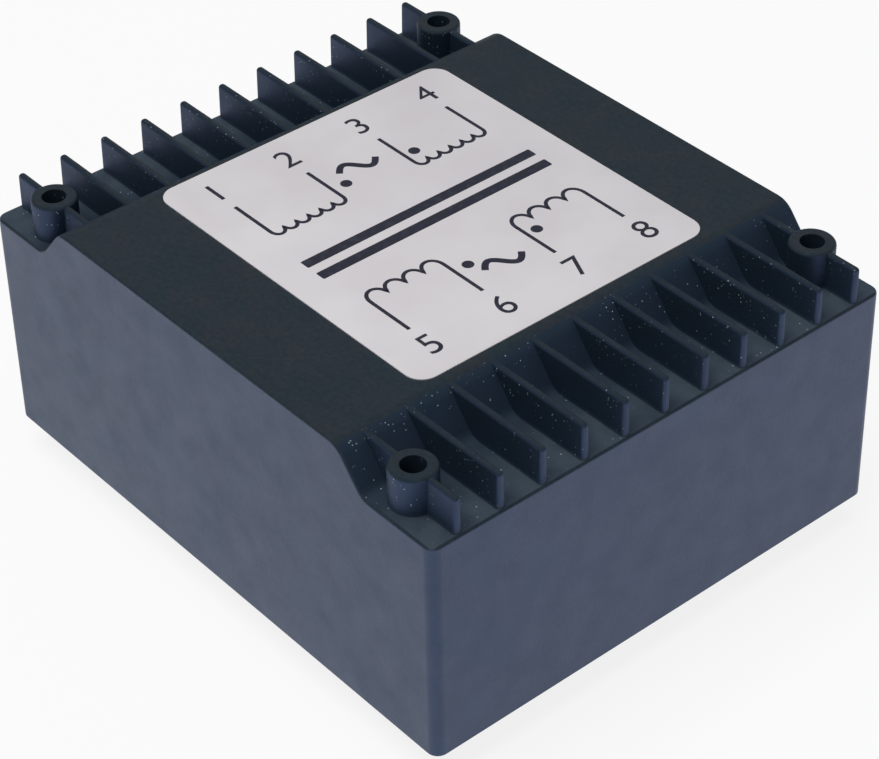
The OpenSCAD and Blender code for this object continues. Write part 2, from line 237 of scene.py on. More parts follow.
@dataclass(frozen=True)
class MouldedHousingPlastic:
    """Glass-filled polyester, injection moulded in a spark-eroded tool.

    To the eye: nearly black and matt, with a fine grain and faint flow marks. It has a bluish
    sheen where it mirrors something bright at a slant. The bays between the fins are duller,
    and their colour is painted bluer and darker as shade. Painted light lightens the terraces,
    and pale specks painted over the bays stand for glints.
    """

    colour: str = "242A22"
    cool_colour: str = "222E2A"
    warm_colour: str = "2B2F28"
    dark_colour: str = "14191A"
    sheen_tint: str = "9CB8FF"
    # Polyester bends light by about 1.6. The hard skin of this filled grade mirrors more
    refraction: float = 2.0
    roughness: float = 0.42
    flow_marks: Cloud = Cloud(5.0, 3.0, (0.35, 0.65), swirl=0.4)
    worn_gloss: Cloud = Cloud(3.0, 3.0, ends=(0.38, 0.47))
    # The tool's grain is about 0.05 mm in truth. Mottle and grain are coarser, so that they show
    mottle: Cloud = Cloud(0.49, ends=(0.0, 0.5))
    grain: float = 0.35
    grain_depth: float = 0.014
    ripple: float = 4.9
    ripple_depth: float = 0.056

    # Painted shade: the bays' colour is bluer and darker, where less light reaches
    bay_shade_colour: str = "1E2A32"
    bay_dullness: float = 0.16
    bay_heights: Pair = (25.0, 29.05)
    bay_reach: Pair = (33.6, 28.1)
    bay_fade: float = 0.1

    # Painted light: the terraces are lightened to a paler, bluer colour in patches, most towards their
    # open ends
    terrace_light_colour: str = "3F4A51"
    terrace_light_heights: Pair = (25.25, 25.6)
    terrace_light_along: Pair = (26.2, 30.5)
    terrace_light_left: float = 0.3
    terrace_light_patches: Cloud = Cloud(3.0, 3.0, (0.3, 0.6), (0.55, 1.0))

    # Painted glints: pale bluish specks scattered in patches over the bays
    glint_colour: str = "A8B6C2"
    glint_spacing: float = 0.38
    speck: Pair = (0.1, 0.22)
    odds: Pair = (0.78, 0.97)
    crowd_heights: Pair = (26.2, 28.4)
    crowd_odds: float = 0.3
    glint_patches: Cloud = Cloud(6.0, 1.0, (0.4, 0.56))

    def build(self) -> bpy.types.Material:
        """Builds the material.

        Returns:
            The material.
        """
        skin = Surface("moulded_polyester", self.colour, self.roughness, self.refraction)
        skin.shader.inputs["Specular Tint"].default_value = linear(self.sheen_tint)
        inside, height, along = self.bays(skin)
        tone = skin.coated(self.cool_colour,
                           (skin.clouded(self.flow_marks), self.warm_colour),
                           (skin.clouded(self.mottle), self.dark_colour),
                           # Painted shade in the bays, painted light on the terraces and painted
                           # glints over the bays
                           (inside, self.bay_shade_colour),
                           (self.film(skin, inside, height, along), self.terrace_light_colour),
                           (self.specks(skin, inside, height), self.glint_colour))
        rough = add_node(skin.tree, "ShaderNodeMath", (
            inside, self.bay_dullness, skin.clouded(self.worn_gloss)), operation="MULTIPLY_ADD")
        ripple = skin.embossed(self.ripple, self.ripple_depth, detail=1.0)
        grain = skin.embossed(self.grain, self.grain_depth, detail=3.0, under=ripple)
        skin.feed(Base_Color=tone, Roughness=rough, Normal=grain)
        return skin.material

    def bays(self, skin: Surface) -> Tuple[bpy.types.Node, bpy.types.NodeSocket, bpy.types.Node]:
        """Finds the bays: above the terraces, below the roof and inside the walls.

        Args:
            skin: The material under construction.

        Returns:
            1 in the bays and 0 elsewhere, the height, and the distance from the middle along X.
        """
        place = add_node(skin.tree, "ShaderNodeSeparateXYZ", (skin.place,))
        height = place.outputs["Z"]
        along, across = (add_node(skin.tree, "ShaderNodeMath", (place.outputs[name],),
                                  operation="ABSOLUTE") for name in "XY")
        low, high = self.bay_heights
        limits = ((height, low, 0.0, 1.0), (height, high, 1.0, 0.0),
                  (along, self.bay_reach[0], 1.0, 0.0), (across, self.bay_reach[1], 1.0, 0.0))
        steps = [add_node(skin.tree, "ShaderNodeMapRange", (
            value, limit * MM, (limit + self.bay_fade) * MM, before, after))
            for value, limit, before, after in limits]
        return self.all_of(skin, *steps), height, along

    def film(self, skin: Surface, inside: Link, height: Link, along: Link) -> bpy.types.Node:
        """Finds the painted light on the terraces, strongest towards their open ends and fading out
        towards the shoulders.

        Args:
            skin: The material under construction.
            inside: 1 in the bays and 0 elsewhere.
            height: Height above the board.
            along: Distance from the middle along X.

        Returns:
            The painted light's share of the colour.
        """
        level = add_node(skin.tree, "ShaderNodeMapRange", (
            height, *(limit * MM for limit in self.terrace_light_heights), 1.0, 0.0))
        outer = add_node(skin.tree, "ShaderNodeMapRange", (
            along, *(limit * MM for limit in self.terrace_light_along), self.terrace_light_left, 1.0))
        return self.all_of(skin, inside, level, skin.clouded(self.terrace_light_patches), outer)

    def specks(self, skin: Surface, inside: Link, height: Link) -> bpy.types.Node:
        """Scatters pale specks as painted glints in patches over the bays, closest together high on
        the shoulders.

        Args:
            skin: The material under construction.
            inside: 1 in the bays and 0 elsewhere.
            height: Height above the board.

        Returns:
            The painted glints' share of the colour.
        """
        cells = add_node(skin.tree, "ShaderNodeTexVoronoi", {
            "Vector": skin.place, "Scale": 1 / (self.glint_spacing * MM), "Randomness": 1.0})
        dot = add_node(skin.tree, "ShaderNodeMapRange", (cells, *self.speck, 1.0, 0.0))
        draw = add_node(skin.tree, "ShaderNodeSeparateColor", (cells.outputs["Color"],))
        crowd = add_node(skin.tree, "ShaderNodeMapRange", (
            height, *(limit * MM for limit in self.crowd_heights), 0.0, self.crowd_odds))
        raised = add_node(skin.tree, "ShaderNodeMath", (draw, crowd), operation="ADD")
        chosen = add_node(skin.tree, "ShaderNodeMapRange", (raised, *self.odds))
        return self.all_of(skin, inside, dot, chosen, skin.clouded(self.glint_patches))

    @staticmethod
    def all_of(skin: Surface, first: Link, *others: Link) -> Link:
        """Gives the product of several shares, which is high only where all of them are.

        Args:
            skin: The material under construction.
            first: The first share.
            others: The other shares.

        Returns:
            The product.
        """
        for other in others:
            first = add_node(skin.tree, "ShaderNodeMath", (first, other), operation="MULTIPLY")
        return first


@dataclass(frozen=True)
class LabelFilm:
    """White polyester film with a satin top coat, die cut.

    To the eye: an even off-white with a soft gloss and hardly any texture.
    """

    colour: str = "E4E1E4"
    shade: str = "DDD9DD"
    roughness: float = 0.38
    clouds: Cloud = Cloud(9.0, band=(0.35, 0.65))
    texture: float = 1.6
    texture_depth: float = 0.004

    def build(self) -> bpy.types.Material:
        """Builds the material.

        Returns:
            The material.
        """
        film = Surface("satin_polyester_film", self.colour, self.roughness)
        film.feed(Base_Color=film.coated(self.colour, (film.clouded(self.clouds), self.shade)),
                  Normal=film.embossed(self.texture, self.texture_depth))
        return film.material


@dataclass(frozen=True)
class ThermalPrint:
    """Thermal-transfer ribbon ink on film.

    To the eye: near-black with a trace of blue, matt beside the satin film.
    """

    colour: str = "2A2C3A"
    worn: str = "383A48"
    roughness: float = 0.5
    wear: Cloud = Cloud(0.8, band=(0.5, 0.75))

    def build(self) -> bpy.types.Material:
        """Builds the material.

        Returns:
            The material.
        """
        ink = Surface("thermal_transfer_ink", self.colour, self.roughness)
        ink.feed(Base_Color=ink.coated(self.colour, (ink.clouded(self.wear), self.worn)))
        return ink.material


@dataclass(frozen=True)
class CastResin:
    """Filled potting resin, cast and cured with its free surface upwards.

    To the eye: black and glossy, gently dished and rippled by shrinkage.
    """

    colour: str = "141518"
    roughness: float = 0.22
    gloss: Cloud = Cloud(4.0, ends=(0.16, 0.3))
    dish: float = 7.0
    dish_depth: float = 0.15
    wrinkle: float = 0.9
    wrinkle_depth: float = 0.01

    def build(self) -> bpy.types.Material:
        """Builds the material.

        Returns:
            The material.
        """
        resin = Surface("cast_potting_resin", self.colour, self.roughness)
        dished = resin.embossed(self.dish, self.dish_depth, detail=1.0)
        wrinkled = resin.embossed(self.wrinkle, self.wrinkle_depth, under=dished)
        resin.feed(Normal=wrinkled, Roughness=resin.clouded(self.gloss))
        return resin.material


@dataclass(frozen=True)
class PlainFinish:
    """A finish told apart by a few values: its two tones, gloss and the size of its grain."""

    name: str
    colour: str
    other: str
    roughness: float
    grain: float
    depth: float
    metallic: float = 0.0
    cloud_per_grain: float = 4.0

    def build(self) -> bpy.types.Material:
        """Builds the material.

        Returns:
            The material.
        """
        surface = Surface(self.name, self.colour, self.roughness)
        surface.shader.inputs["Metallic"].default_value = self.metallic
        share = surface.clouded(Cloud(self.grain * self.cloud_per_grain, detail=3.0))
        surface.feed(Base_Color=surface.coated(self.colour, (share, self.other)),
                     Normal=surface.embossed(self.grain, self.depth))
        return surface.material


# Rolled electrical sheet under a thin insulating varnish: blue-grey, streaky, half gloss
CORE_SHEET = PlainFinish("varnished_silicon_steel", "6B7076", "5A5E66", 0.42, 0.5, 0.006, 1.0)
# Moulded polyamide in its natural colour: cream, slightly waxy
FORMER_PLASTIC = PlainFinish("natural_polyamide", "D6CFBC", "CDC4AE", 0.45, 0.6, 0.008)
# Drawn copper under clear enamel: red-brown, glossy
COPPER_WIRE = PlainFinish("enamelled_copper", "B4622F", "A0501F", 0.3, 0.4, 0.02, 1.0)
# Polyester tape with a thin adhesive: yellow and smooth
WINDING_TAPE = PlainFinish("polyester_tape", "D9AE3C", "CFA02F", 0.3, 1.2, 0.01)
# Brass wire, dip tinned: bright with a slightly uneven coat
TIN_PLATE = PlainFinish("dip_tinned_brass", "C9C8C2", "B9B8B1", 0.25, 0.3, 0.006, 1.0)


# ---------------------------------------------------------------- modelling by hand

# A normal's height, by which a face lies level, slopes upwards or stands upright
LEVEL = 0.9
SLOPING = 0.5
UPRIGHT = 0.1


def pick(*pieces: bpy.types.Object) -> None:
    """Selects only the given pieces and makes the first one active.

    Args:
        pieces: The pieces, or none to leave nothing selected.
    """
    for each in bpy.context.selected_objects:
        each.select_set(False)
    for piece in pieces:
        piece.select_set(True)
    bpy.context.view_layer.objects.active = pieces[0] if pieces else None


def settle(piece: bpy.types.Object) -> None:
    """Moves a piece's place into its mesh, so that its object sits at the origin."""
    pick(piece)
    bpy.ops.object.transform_apply(location=True, rotation=True, scale=True)


def start_block(name: str, low: Sequence[float], high: Sequence[float]) -> bpy.types.Object:
    """Adds a cube primitive that fills a box.

    Args:
        name: The piece's name.
        low: Lowest corner in millimetres.
        high: Highest corner in millimetres.

    Returns:
        The block.
    """
    pick()
    middle = [(a + b) / 2 * MM for a, b in zip(low, high)]
    bpy.ops.mesh.primitive_cube_add(size=1, location=middle,
                                    scale=[(b - a) * MM for a, b in zip(low, high)])
    piece = bpy.context.object
    piece.name = piece.data.name = name
    settle(piece)
    return piece


def start_round(radius: float, low: float, high: float, at: Pair, sides: int) -> bpy.types.Object:
    """Adds an upright cylinder primitive.

    Args:
        radius: Its radius in millimetres.
        low: Height of its foot in millimetres.
        high: Height of its top in millimetres.
        at: Its axis in millimetres.
        sides: How many flats stand for its round.

    Returns:
        The cylinder.
    """
    pick()
    bpy.ops.mesh.primitive_cylinder_add(
        vertices=sides, radius=radius * MM, depth=(high - low) * MM,
        location=(at[0] * MM, at[1] * MM, (low + high) / 2 * MM))
    piece = bpy.context.object
    settle(piece)
    return piece


def select_faces(piece: bpy.types.Object, test: Callable[[Vector], bool]) -> None:
    """Selects, in edit mode, the faces whose normal passes a test.

    Args:
        piece: The piece in edit mode.
        test: Takes a face's normal.
    """
    mesh = bmesh.from_edit_mesh(piece.data)
    mesh.normal_update()
    mesh.select_mode = {"FACE"}
    for face in mesh.faces:
        face.select_set(test(face.normal))
    mesh.select_flush_mode()
    bmesh.update_edit_mesh(piece.data)


def select_edges(piece: bpy.types.Object,
                 test: Callable[[Vector, Vector, Sequence[Vector]], bool]) -> None:
    """Selects, in edit mode, the edges whose ends and neighbouring normals pass a test.

    Args:
        piece: The piece in edit mode.
        test: Takes both ends in millimetres and the normals of the faces at the edge.
    """
    mesh = bmesh.from_edit_mesh(piece.data)
    mesh.normal_update()
    mesh.select_mode = {"EDGE"}
    for edge in mesh.edges:
        normals = [face.normal for face in edge.link_faces]
        edge.select_set(test(edge.verts[0].co / MM, edge.verts[1].co / MM, normals))
    mesh.select_flush_mode()
    bmesh.update_edit_mesh(piece.data)


def round_off(radius: float, segments: int, **options: object) -> None:
    """Rounds the selected edges, in edit mode."""
    bpy.ops.mesh.bevel(offset=radius * MM, segments=segments, affect="EDGES", **options)


def edit(piece: bpy.types.Object, mode: str = "FACE") -> None:
    """Enters edit mode on one piece with nothing selected.

    Args:
        piece: The piece.
        mode: What is to be selected: VERT, EDGE or FACE.
    """
    pick(piece)
    bpy.ops.object.mode_set(mode="EDIT")
    bpy.ops.mesh.select_mode(type=mode)
    bpy.ops.mesh.select_all(action="DESELECT")


def leave() -> None:
    """Leaves edit mode."""
    bpy.ops.object.mode_set(mode="OBJECT")


def place_piece(piece: bpy.types.Object, material: bpy.types.Material,
                angle: float = 35.0) -> None:
    """Finishes a piece: its shading, its material, and the body it rides on.

    Args:
        piece: The finished mesh.
        material: The material that covers it.
        angle: Steepest edge that still looks round, in degrees.
    """
    settle(piece)
    bpy.ops.object.shade_smooth_by_angle(angle=math.radians(angle))
    piece.data.materials.clear()
    piece.data.materials.append(material)
    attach(piece, "root")
    LOG.info("%s: %d faces", piece.name, len(piece.data.polygons))


def copy_piece(piece: bpy.types.Object, shift: Vector) -> bpy.types.Object:
    """Copies a piece with a mesh of its own.

    Args:
        piece: The piece to copy.
        shift: How far the copy moves, in millimetres.

    Returns:
        The copy.
    """
    pick(piece)
    bpy.ops.object.duplicate(linked=False)
    bpy.ops.transform.translate(value=shift * MM)
    copy = bpy.context.object
    settle(copy)
    return copy


def join_pieces(name: str, pieces: Sequence[bpy.types.Object]) -> bpy.types.Object:
    """Joins pieces into one object.

    Args:
        name: The name of the whole.
        pieces: The pieces, of which the first becomes the whole.

    Returns:
        The whole.
    """
    pick(*pieces)
    bpy.ops.object.join()
    whole = bpy.context.object
    whole.name = whole.data.name = name
    return whole


def meet(piece: bpy.types.Object, other: bpy.types.Object, meeting: Meeting) -> None:
    """Adds a second piece to a piece or cuts it away, and removes the second one.

    Args:
        piece: The piece that stays.
        other: The second piece.
        meeting: Whether it is joined or cut away.
    """
    pick(piece)
    bpy.ops.object.modifier_add(type="BOOLEAN")
    modifier = piece.modifiers[-1]
    modifier.operation = meeting.value
    modifier.solver = "EXACT"
    modifier.object = other
    bpy.ops.object.modifier_apply(modifier=modifier.name)
    LOG.info("%s: %s %s", piece.name, other.name, meeting.name.lower().replace("_", " "))
    pick(other)
    bpy.ops.object.delete()


# ---------------------------------------------------------------- housing


@dataclass(frozen=True)
class Shoulder:
    """Step from the roof down to a terrace: two arcs joined by a straight slope."""

    angle: float = 50.0
    top_radius: float = 2.6
    foot_radius: float = 2.0
    steps: int = 6

    def points(self, roof: float, terrace: float, sunk: float) -> List[Pair]:
        """Gives the step as distances outwards from the flat roof, and heights.

        Args:
            roof: Height of the roof.
            terrace: Height of the terrace.
            sunk: Distance below the outer surface, measured square to it.

        Returns:
            Pairs of distance and height from the roof to the terrace.
        """
        steepest = math.radians(self.angle)
        radii = self.top_radius + self.foot_radius
        slope = roof - terrace - radii * (1 - math.cos(steepest))
        length = radii * math.sin(steepest) + slope / math.tan(steepest)
        turns = [steepest * step / self.steps for step in range(self.steps + 1)]
        top = [(self.top_radius * math.sin(a), roof - self.top_radius * (1 - math.cos(a)), a)
               for a in turns]
        foot = [(length - self.foot_radius * math.sin(a),
                 terrace + self.foot_radius * (1 - math.cos(a)), a) for a in reversed(turns)]
        return [(x - sunk * math.sin(a), z - sunk * math.cos(a)) for x, z, a in top + foot]


@dataclass
class Housing:
    """Moulded cup, open below, with finned terraces at both ends and a boss in each corner.

    Near is how close, in millimetres, a vertex lies to the place at which it is looked for,
    and spare is how far a rough block or a cutting tool reaches past what it shapes.
    """

    wall: float = 1.3
    roof: float = 1.5
    terrace: float = 25.2
    flat_half: float = 20.3
    flat_shift: float = -0.4
    corner: float = 1.2
    edge: float = 0.28
    draft: float = 0.2
    fin_count: int = 11
    fin_root: float = 1.0
    fin_top: float = 0.8
    fin_drop: float = 0.15
    fin_set_back: float = 0.35
    fin_bite: float = 1.0
    fin_edge: float = 0.37
    boss_at: Pair = (27.6, 25.0)
    boss: float = 4.7
    boss_edge: float = 0.35
    boss_sides: int = 56
    screw: float = 2.4
    screw_sides: int = 40
    mouth: float = 0.12
    near: float = 0.01
    spare: float = 2.0
    shoulder: Shoulder = Shoulder()
    finish: MouldedHousingPlastic = MouldedHousingPlastic()
    low: Vector = field(init=False)
    high: Vector = field(init=False)

    def __post_init__(self) -> None:
        """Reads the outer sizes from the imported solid."""
        self.low, self.high = (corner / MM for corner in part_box("case"))

    def build(self) -> None:
        """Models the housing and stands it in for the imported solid."""
        housing = self.block("housing", 0.0, 0.0, self.draft)
        self.round_edges(housing)
        meet(housing, self.fins(), Meeting.JOINED)
        meet(housing, self.block("cavity", self.wall, self.roof, 0.0), Meeting.CUT_AWAY)
        meet(housing, self.bosses(), Meeting.JOINED)
        meet(housing, self.screw_holes(), Meeting.CUT_AWAY)
        self.round_mouths(housing)
        place_piece(housing, self.finish.build())
        self.even_shading(housing)
        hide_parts("case")

    def flat_end(self, end: End) -> float:
        """Gives the distance from the middle to the end of the flat roof."""
        return self.flat_half + end.value * self.flat_shift

    def profile(self, sunk: float) -> List[Pair]:
        """Gives both shoulders as a line across the housing.

        Args:
            sunk: Distance below the outer surface.

        Returns:
            Pairs of x and height, from the primary end to the secondary end.
        """
        step = self.shoulder.points(self.high.z, self.terrace, sunk)
        left = [(-self.flat_end(End.PRIMARY) - x, z) for x, z in reversed(step)]
        return left + [(self.flat_end(End.SECONDARY) + x, z) for x, z in step]

    def block(self, name: str, inset: float, sunk: float, draft: float) -> bpy.types.Object:
        """Models a block with the shoulders' profile and four walls.

        Args:
            name: The block's name.
            inset: Distance of its walls inside the outer walls.
            sunk: Distance of its top below the outer surface.
            draft: Lean of its walls in degrees.

        Returns:
            The block. A sunk one also reaches below the rim, to cut it open.
        """
        floor = self.low.z - (self.spare if sunk else 0.0)
        top = self.high.z - sunk
        x_low, x_high = self.low.x - self.spare, self.high.x + self.spare
        block = start_block(name, (x_low, self.low.y - self.spare, floor),
                            (x_high, self.high.y + self.spare, top))
        edit(block)
        stations = self.profile(sunk)
        for x, _ in stations:
            bpy.ops.mesh.select_all(action="SELECT")
            bpy.ops.mesh.bisect(plane_co=(x * MM, 0, 0), plane_no=(1, 0, 0))
        for x, z in stations + [(x_low, stations[0][1]), (x_high, stations[-1][1])]:
            self.lower(block, x, top, z)
        leave()
        for outwards in ((1, 0, 0), (-1, 0, 0), (0, 1, 0), (0, -1, 0)):
            self.trim_wall(block, Vector(outwards), inset, draft)
        return block

    def lower(self, block: bpy.types.Object, x: float, top: float, height: float) -> None:
        """Lowers one cross line of a block's top, in edit mode.

        Args:
            block: The block.
            x: Where the line lies.
            top: The line's present height.
            height: Its new height.
        """
        mesh = bmesh.from_edit_mesh(block.data)
        for vertex in mesh.verts:
            place = vertex.co / MM
            vertex.select_set(abs(place.x - x) < self.near and place.z > top - self.near)
        mesh.select_flush_mode()
        bmesh.update_edit_mesh(block.data)
        bpy.ops.transform.translate(value=(0, 0, (height - top) * MM))

    def trim_wall(self, block: bpy.types.Object, outwards: Vector, inset: float, draft: float) -> None:
        """Cuts a block along one drafted wall and closes the cut.

        Args:
            block: The block.
            outwards: Direction the wall faces.
            inset: Distance of the wall inside the outer wall.
            draft: Lean of the wall in degrees.
        """
        reach = abs(self.low.x) if outwards.x else abs(self.low.y)
        lean = math.radians(draft)
        edit(block)
        bpy.ops.mesh.select_all(action="SELECT")
        bpy.ops.mesh.bisect(plane_co=outwards * (reach - inset) * MM,
                            plane_no=outwards * math.cos(lean) + Vector((0, 0, math.sin(lean))),
                            use_fill=True, clear_outer=True)
        leave()

    def round_edges(self, housing: bpy.types.Object) -> None:
        """Rounds the upright corners, then the edge along the top of the walls.

        Args:
            housing: The block that becomes the housing.
        """
        edit(housing, "EDGE")
        select_edges(housing, lambda a, b, normals: abs(a.z - b.z) > self.terrace / 2)
        round_off(self.corner, segments=6)
        select_edges(housing, lambda a, b, normals: len(normals) == 2
                     and max(n.z for n in normals) > SLOPING
                     and min(abs(n.z) for n in normals) < UPRIGHT)
        round_off(self.edge, segments=3, clamp_overlap=False)
        leave()

    def fins(self) -> bpy.types.Object:
        """Models one fin for each end and copies it along the terrace.

        Returns:
            All fins as one piece.
        """
        pitch = 2 * self.boss_at[1] / (self.fin_count - 1)
        row: List[bpy.types.Object] = []
        for end in End:
            fin = self.fin(end)
            row += [copy_piece(fin, Vector((0, pitch * step, 0)))
                    for step in range(1, self.fin_count)]
            row.append(fin)
        return join_pieces("fins", row)

    def fin(self, end: End) -> bpy.types.Object:
        """Models the first fin of one end: tapered upwards, with a rounded nose and top.

        Args:
            end: The end it stands at.

        Returns:
            The fin, with its root inside the housing.
        """
        top = self.high.z - self.fin_drop
        root = self.terrace - self.roof / 2
        lean = math.tan(math.radians(self.draft))
        nose = end.value * (self.high.x - self.terrace * lean - self.fin_set_back)
        inner = end.value * (self.flat_end(end) - self.fin_bite)
        taper = (self.fin_root - self.fin_top) / (top - self.terrace)
        half = (self.fin_root + taper * (self.terrace - root)) / 2
        y = -self.boss_at[1]
        fin = start_block("fin", (min(inner, nose), y - half, root), (max(inner, nose), y + half, top))
        edit(fin)
        select_faces(fin, lambda normal: normal.z > LEVEL)
        bpy.ops.transform.resize(value=(1, self.fin_top / (2 * half), 1),
                                 center_override=(0, y * MM, 0))
        bpy.ops.mesh.select_mode(type="EDGE")
        select_edges(fin, lambda a, b, normals: self.is_fin_edge(a, b, nose, top))
        round_off(self.fin_edge, segments=4)
        leave()
        return fin

    def is_fin_edge(self, a: Vector, b: Vector, nose: float, top: float) -> bool:
        """Tells whether an edge is one of a fin's nose edges or its long top edges.

        Args:
            a: One end of the edge.
            b: Its other end.
            nose: Where the fin's nose lies along X.
            top: Height of the fin's top.

        Returns:
            Whether the edge gets rounded.
        """
        at_nose = abs(a.x - nose) < self.near and abs(b.x - nose) < self.near
        at_top = min(a.z, b.z) > top - self.near
        upright = abs(a.z - b.z) > self.fin_root
        along = abs(a.x - b.x) > self.fin_root
        return (at_nose and (upright or at_top)) or (at_top and along)

    def bosses(self) -> bpy.types.Object:
        """Models one boss, from the rim to the roof's height, and copies it to the corners.

        Returns:
            The four bosses as one piece.
        """
        boss = start_round(self.boss / 2, 0.0, self.high.z, self.first_corner(), self.boss_sides)
        edit(boss, "EDGE")
        select_edges(boss, lambda a, b, normals: min(a.z, b.z) > self.high.z - self.near)
        round_off(self.boss_edge, segments=4)
        leave()
        return self.at_corners("bosses", boss)

    def screw_holes(self) -> bpy.types.Object:
        """Models the drills for the screw holes, long enough to run clean through.

        Returns:
            The four drills as one piece.
        """
        drill = start_round(self.screw / 2, -self.spare, self.high.z + self.spare,
                            self.first_corner(), self.screw_sides)
        return self.at_corners("drills", drill)

    def first_corner(self) -> Pair:
        """Gives the axis of the boss from which the others are copied."""
        return -self.boss_at[0], -self.boss_at[1]

    def at_corners(self, name: str, piece: bpy.types.Object) -> bpy.types.Object:
        """Copies a piece from the first corner to the other three.

        Args:
            name: The name of the whole.
            piece: The piece at the first corner.

        Returns:
            The four joined.
        """
        x, y = self.boss_at
        shifts = (Vector((2 * x, 0, 0)), Vector((0, 2 * y, 0)), Vector((2 * x, 2 * y, 0)))
        return join_pieces(name, [piece] + [copy_piece(piece, shift) for shift in shifts])

    def round_mouths(self, housing: bpy.types.Object) -> None:
        """Rounds the upper mouths of the screw holes.

        Args:
            housing: The housing with its holes.
        """

        def at_mouth(place: Vector) -> bool:
            """Tells whether a point lies on the upper rim of a screw hole."""
            off = math.hypot(abs(place.x) - self.boss_at[0], abs(place.y) - self.boss_at[1])
            return place.z > self.high.z - self.near and abs(off - self.screw / 2) < 2 * self.near

        edit(housing, "EDGE")
        select_edges(housing, lambda a, b, normals: at_mouth(a) and at_mouth(b))
        round_off(self.mouth, segments=2)
        leave()

    @staticmethod
    def even_shading(housing: bpy.types.Object) -> None:
        """Weights the normals by area, so that the flats stay flat beside the rounded edges.

        Args:
            housing: The finished housing.
        """
        pick(housing)
        bpy.ops.object.modifier_add(type="WEIGHTED_NORMAL")
        modifier = housing.modifiers[-1]
        modifier.keep_sharp = True
        bpy.ops.object.modifier_apply(modifier=modifier.name)


# ---------------------------------------------------------------- label


